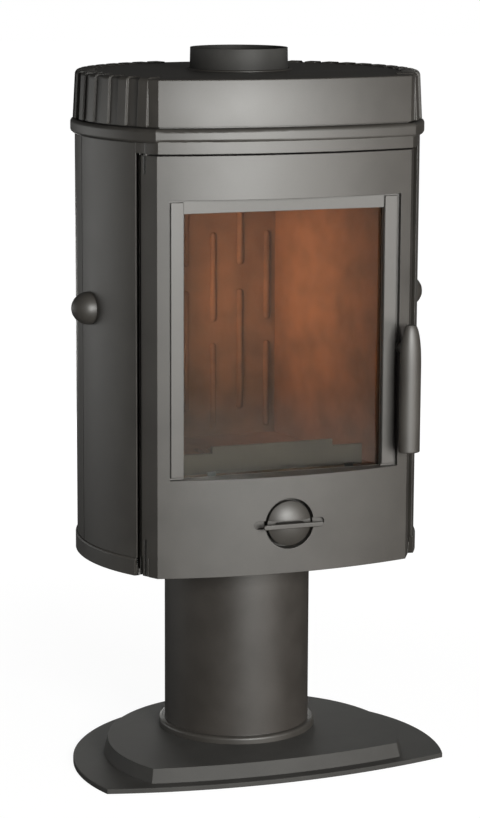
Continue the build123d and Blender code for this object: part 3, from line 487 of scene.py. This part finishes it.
# Panel knobs: domed cast nuts, one on each side panel, each on a stud through the panel.
# The profile is radius and height in mm. The right one sits further back and is a little flatter.
knob_profile = (
    (22.5, -2.0), (22.5, 5.0), (21.6, 9.5), (19.2, 14.6), (15.6, 19.2), (10.8, 22.9), (5.6, 25.2), (0.0, 26.0),
)
knob_level = 654 * MM
smallest = 0.05
for name, replaced, side, forward, rise in (
    ("left_panel_knob", "panel_knob_left", -1, 7.0, 1.0), ("right_panel_knob", "panel_knob_right", 1, 1.5, 0.935),
):
    bm = bmesh.new()
    loops = [
        bmesh.ops.create_circle(bm, segments=64, radius=max(r, smallest) * MM,
                                matrix=Matrix.Translation((0, 0, h * rise * MM)))["verts"]
        for r, h in knob_profile
    ]
    joined(bm, loops)
    bm.faces.new(list(reversed(loops[0])))
    bm.faces.new(loops[-1])
    outward = Vector((side * math.cos(math.radians(forward)), -math.sin(math.radians(forward)), 0))
    seat = Vector((0, BODY_CENTRE, knob_level)) + outward * panel_outer
    turned_out = outward.to_track_quat("Z", "Y").to_matrix().to_4x4()
    bmesh.ops.transform(bm, matrix=Matrix.Translation(seat) @ turned_out, verts=bm.verts)
    cast_piece(name, bm, stove_paint, "stove", replaced)

# Rope and flat gasket: twisted and woven glass fibre, cemented into the door and round the glass.
# It looks off-white and dead matt, with strands that catch the light.
fibre = bpy.data.materials.new("woven glass fibre")
fibre.use_nodes = True
fibre.node_tree.nodes.clear()
t = fibre.node_tree
place = node(t, "ShaderNodeTexCoord").outputs["Object"]
strands = node(t, "ShaderNodeTexWave", {"Scale": 1 / (14 * MM), "Distortion": 2.0}, Vector=place)
lift = node(t, "ShaderNodeBump", {"Strength": 0.6, "Distance": 0.4 * MM}, Height=strands.outputs["Fac"])
bare = node(t, "ShaderNodeBsdfPrincipled", {"Base Color": srgb("#a8a69c"), "Roughness": 0.9},
            Normal=lift.outputs[0])
node(t, "ShaderNodeOutputMaterial", Surface=bare.outputs[0])
wear(fibre, ["door_rope", "glass_gasket"])

# Door, mouth frame, hinge pins, floor casting and flat gasket: copies of the built castings with
# a few edges moved. The hinge's knuckles hardly stand out of the door's left flank, and the ledge
# over the glass is deeper than the ones beside it.
FLANK_CORNER = Vector((-181.0 * MM, -191.31 * MM, 0))
FLANK_NORMAL = Vector((-0.869, -0.495, 0)).normalized()
hinge_x = -190.0 * MM
hinge_y = -171.0 * MM
knuckle_reach = 5.8 * MM
glass_half = 143.5 * MM


def at(value, level):
    """Whether a coordinate lies on a level given in mm."""
    return abs(value - level * MM) < 0.1 * MM


def flush_knuckle(vert):
    """Draws a point of the hinge's round knuckles back to the flank."""
    from_axis = math.hypot(vert.co.x - hinge_x, vert.co.y - hinge_y)
    beyond = (vert.co - FLANK_CORNER).dot(FLANK_NORMAL)
    if from_axis < knuckle_reach and beyond > 0:
        vert.co -= FLANK_NORMAL * beyond


def lower_sill(vert):
    """The lower edge of the glass opening, which has no ledge."""
    if at(vert.co.z, 440) and abs(vert.co.x) < glass_half:
        vert.co.z -= 5.4 * MM


def shape_door(vert):
    """The deeper ledge over the glass, the shallower recess of the air bar, and the sill."""
    if at(vert.co.z, 797) and abs(vert.co.x) < glass_half:
        vert.co.z -= 5 * MM
    in_recess = abs(vert.co.x) < 51 * MM and abs(vert.co.z - 368.8 * MM) < 5.8 * MM
    if at(vert.co.y, -211.31) and in_recess:
        vert.co.y += 2.5 * MM
    lower_sill(vert)


def shape_frame(vert):
    """The band over the door: higher, further forward, and close above the door's edge."""
    if vert.co.z > 875 * MM and vert.co.y < -163.6 * MM:
        vert.co.z += 3.5 * MM if vert.co.z > 880 * MM else -3.2 * MM
        vert.co.y -= 4.6 * MM if vert.co.y < -164 * MM else 0.0


def shape_floor(vert):
    """The inner edge of the side ledge's front end, moved back along the body."""
    from_body = math.hypot(vert.co.x, vert.co.y - BODY_CENTRE)
    if at(vert.co.y, -163.4) and 233 * MM < from_body < 235 * MM:
        vert.co.y += 6 * MM
        vert.co.x = math.copysign(math.sqrt(from_body**2 - (vert.co.y - BODY_CENTRE) ** 2), vert.co.x)


for name, node_name, body, material, shape in (
    ("door_front", "door_casting", "door", stove_paint, shape_door),
    ("mouth_frame", "front_frame", "stove", stove_paint, shape_frame),
    ("lower_hinge_pin", "hinge_pin_lower", "stove", stove_paint, None),
    ("upper_hinge_pin", "hinge_pin_upper", "stove", stove_paint, None),
    ("floor_casting", "body_floor", "stove", stove_paint, shape_floor),
    ("glass_tape", "glass_gasket", "door", fibre, lower_sill),
):
    mesh = nodes[node_name].data.copy()
    for vert in mesh.vertices:
        flush_knuckle(vert)
        if shape:
            shape(vert)
    mesh.materials.clear()
    mesh.materials.append(material)
    made = bpy.data.objects.new(name, mesh)
    scene.collection.objects.link(made)
    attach(made, body)
    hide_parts(node_name)

# Glass trim: two flat cast strips, painted as the door is, one on each side of the glass.
# Each lies against the door with a dark joint round it.
trim_size = (18.5 * MM, 3.0 * MM, 371 * MM)
for name, side in (("left_glass_trim", -1), ("right_glass_trim", 1)):
    bm = bmesh.new()
    bmesh.ops.create_cube(bm, size=1.0)
    bmesh.ops.scale(bm, vec=trim_size, verts=bm.verts)
    bmesh.ops.translate(bm, vec=(side * 152.6 * MM, -189.5 * MM, 622.5 * MM), verts=bm.verts)
    bmesh.ops.bevel(bm, geom=bm.edges[:], offset=0.5 * MM, segments=2, affect="EDGES")
    cast_piece(name, bm, stove_paint, "door")

# Small steel parts and the ash pan: turned and pressed mild steel, zinc plated against rust.
# The coat is a grey metal whose dull and brighter grains are under a millimetre wide.
zinc = bpy.data.materials.new("zinc plated mild steel")
zinc.use_nodes = True
zinc.node_tree.nodes.clear()
t = zinc.node_tree
place = node(t, "ShaderNodeTexCoord").outputs["Object"]
drawn = node(t, "ShaderNodeTexNoise", {"Scale": 1 / (0.8 * MM), "Detail": 2.0}, Vector=place)
dull = node(t, "ShaderNodeMapRange", {"To Min": 0.32, "To Max": 0.5}, Value=drawn.outputs["Fac"])
fine = node(t, "ShaderNodeBump", {"Strength": 0.15, "Distance": 0.05 * MM}, Height=drawn.outputs["Fac"])
bare = node(t, "ShaderNodeBsdfPrincipled", {"Base Color": srgb("#8f8f8c"), "Metallic": 1.0},
            Roughness=dull.outputs[0], Normal=fine.outputs[0])
node(t, "ShaderNodeOutputMaterial", Surface=bare.outputs[0])
wear(zinc, [
    "foot_bolts", "head_bolts", "collar_bolts", "clip_screws", "glass_clips", "handle_spindle",
    "spindle_nut", "latch_cam", "latch_keeper", "air_spindle", "air_nut", "air_valve_plate", "ash_pan",
])

# Fire lining: bare cast plates, loose in the firebox, that the fire has browned.
# The rust is a matt brown in two tones, mottled, over a gritty skin.
rust = bpy.data.materials.new("fire-browned bare cast iron")
rust.use_nodes = True
rust.node_tree.nodes.clear()
t = rust.node_tree
place = node(t, "ShaderNodeTexCoord").outputs["Object"]
scale_noise = node(t, "ShaderNodeTexNoise", {"Scale": 1 / (40 * MM), "Detail": 6.0}, Vector=place)
tint = node(t, "ShaderNodeValToRGB", Fac=scale_noise.outputs["Fac"])
tint.color_ramp.elements[0].position = 0.3
tint.color_ramp.elements[0].color = srgb("#6a5240")
tint.color_ramp.elements[1].position = 0.75
tint.color_ramp.elements[1].color = srgb("#86664f")
grit = node(t, "ShaderNodeTexNoise", {"Scale": 1 / (2.5 * MM), "Detail": 4.0}, Vector=place)
rough = node(t, "ShaderNodeBump", {"Strength": 0.3, "Distance": 0.3 * MM}, Height=grit.outputs["Fac"])
bare = node(t, "ShaderNodeBsdfPrincipled", {"Roughness": 0.7}, Base_Color=tint.outputs[0],
            Normal=rough.outputs[0])
node(t, "ShaderNodeOutputMaterial", Surface=bare.outputs[0])
wear(rust, [
    "firebox_back", "firebox_side_left", "firebox_side_right", "hearth_plate", "fire_grate",
    "baffle", "baffle_rests",
])

# Back plate: a cast plate with ten half-round ribs in five staggered columns, which stiffen it
# and hold the logs off it. The built bars are pressed flat and the ribs stand over them.
# A column lists its ribs' lower and upper ends, in mm, as the pitch of the columns is.
plate_y = 110.4 * MM
rib_radius = 4.9 * MM
column_pitch = 41.5
even_column = ((445, 562), (603, 724))
odd_column = ((472, 640), (685, 790))
plate = nodes["firebox_back"].data.copy()
for vert in plate.vertices:
    if vert.co.y < 109.9 * MM and abs(vert.co.x) < 92 * MM:
        vert.co.y = plate_y
bm = bmesh.new()
bm.from_mesh(plate)
for column in range(5):
    for low, high in even_column if column % 2 == 0 else odd_column:
        rib = bmesh.ops.create_uvsphere(bm, u_segments=20, v_segments=10, radius=rib_radius)["verts"]
        half = (high - low) / 2 * MM
        for vert in rib:
            vert.co.z += half if vert.co.z > 0 else -half
        middle = ((column - 2) * column_pitch * MM, 110.2 * MM, (low + high) / 2 * MM)
        bmesh.ops.translate(bm, vec=middle, verts=rib)
cast_piece("fire_back_plate", bm, rust, "stove", "firebox_back")

# Glass: a flat pane of clear glass ceramic, faintly grey, held by clips behind the door.
# It shows the firebox with a slight tint and mirrors the room a little.
pane = bpy.data.materials.new("clear glass ceramic")
pane.use_nodes = True
pane.node_tree.nodes.clear()
t = pane.node_tree
clear = node(t, "ShaderNodeBsdfPrincipled", {
    "Base Color": srgb("#cbc7bc"), "Roughness": 0.02, "IOR": 1.54, "Specular IOR Level": 0.06,
    "Transmission Weight": 1.0,
})
node(t, "ShaderNodeOutputMaterial", Surface=clear.outputs[0])
wear(pane, ["door_glass"])

# Embers: the warm light of a low fire at the left of the firebox, which falls on the right wall
# and across the back plate. The lamp itself is never seen.
ember = bpy.data.objects.new("ember_light", bpy.data.lights.new("ember_light", "AREA"))
ember.data.shape = "RECTANGLE"
ember.data.size = 0.10
ember.data.size_y = 0.26
ember.data.energy = 0.68
ember.data.spread = math.radians(135)
ember.data.color = (1.0, 0.55, 0.33)
ember.matrix_world = Matrix.Translation((-0.085, 0.0, 0.67))
ember.rotation_euler = (math.radians(88), 0, math.radians(-88))
ember.visible_camera = False
ember.visible_transmission = False
ember.visible_glossy = False
scene.collection.objects.link(ember)
